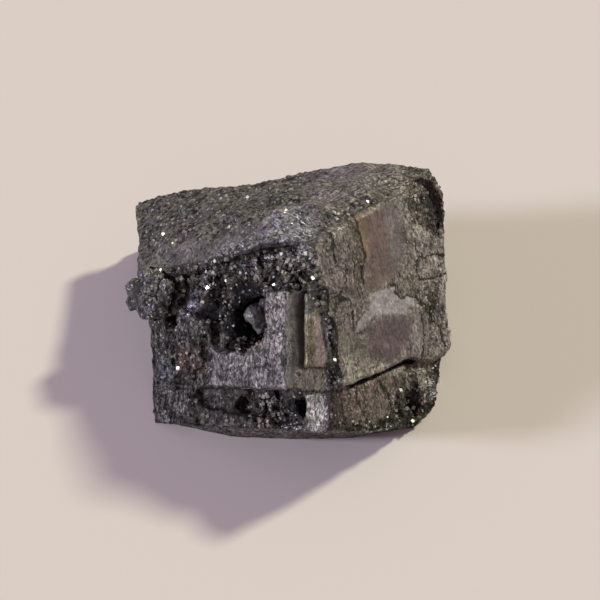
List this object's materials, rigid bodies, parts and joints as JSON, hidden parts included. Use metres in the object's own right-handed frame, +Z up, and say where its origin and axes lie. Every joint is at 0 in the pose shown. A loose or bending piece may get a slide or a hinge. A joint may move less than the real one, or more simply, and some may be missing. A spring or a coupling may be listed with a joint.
{
  "type": "galena specimen",
  "caption": "Cleaved block of galena with stepped faces, small slots and pits, a lump of pale crystals on one end and pale crystals in a cavity.",
  "frame": {"origin": "a point of the flat foot near the middle of the footprint, on the table under the block", "axes": "+Z up from the foot, -Y the stepped front face's side, +X to the right of the front, along the longest side"},
  "size_m": [0.0543, 0.0499, 0.0313],
  "materials": {
    "galena": "dark lead-grey metallic lustre, dull and granular on fractures, smooth and bright on cleavage faces",
    "pale_crystal": "cloudy, translucent, pale grey-green"
  },
  "bodies": {
    "root": {"galena_block": "galena", "pale_crystal_cluster": "pale_crystal", "cavity_crystals": "pale_crystal"}
  },
  "joints": []
}
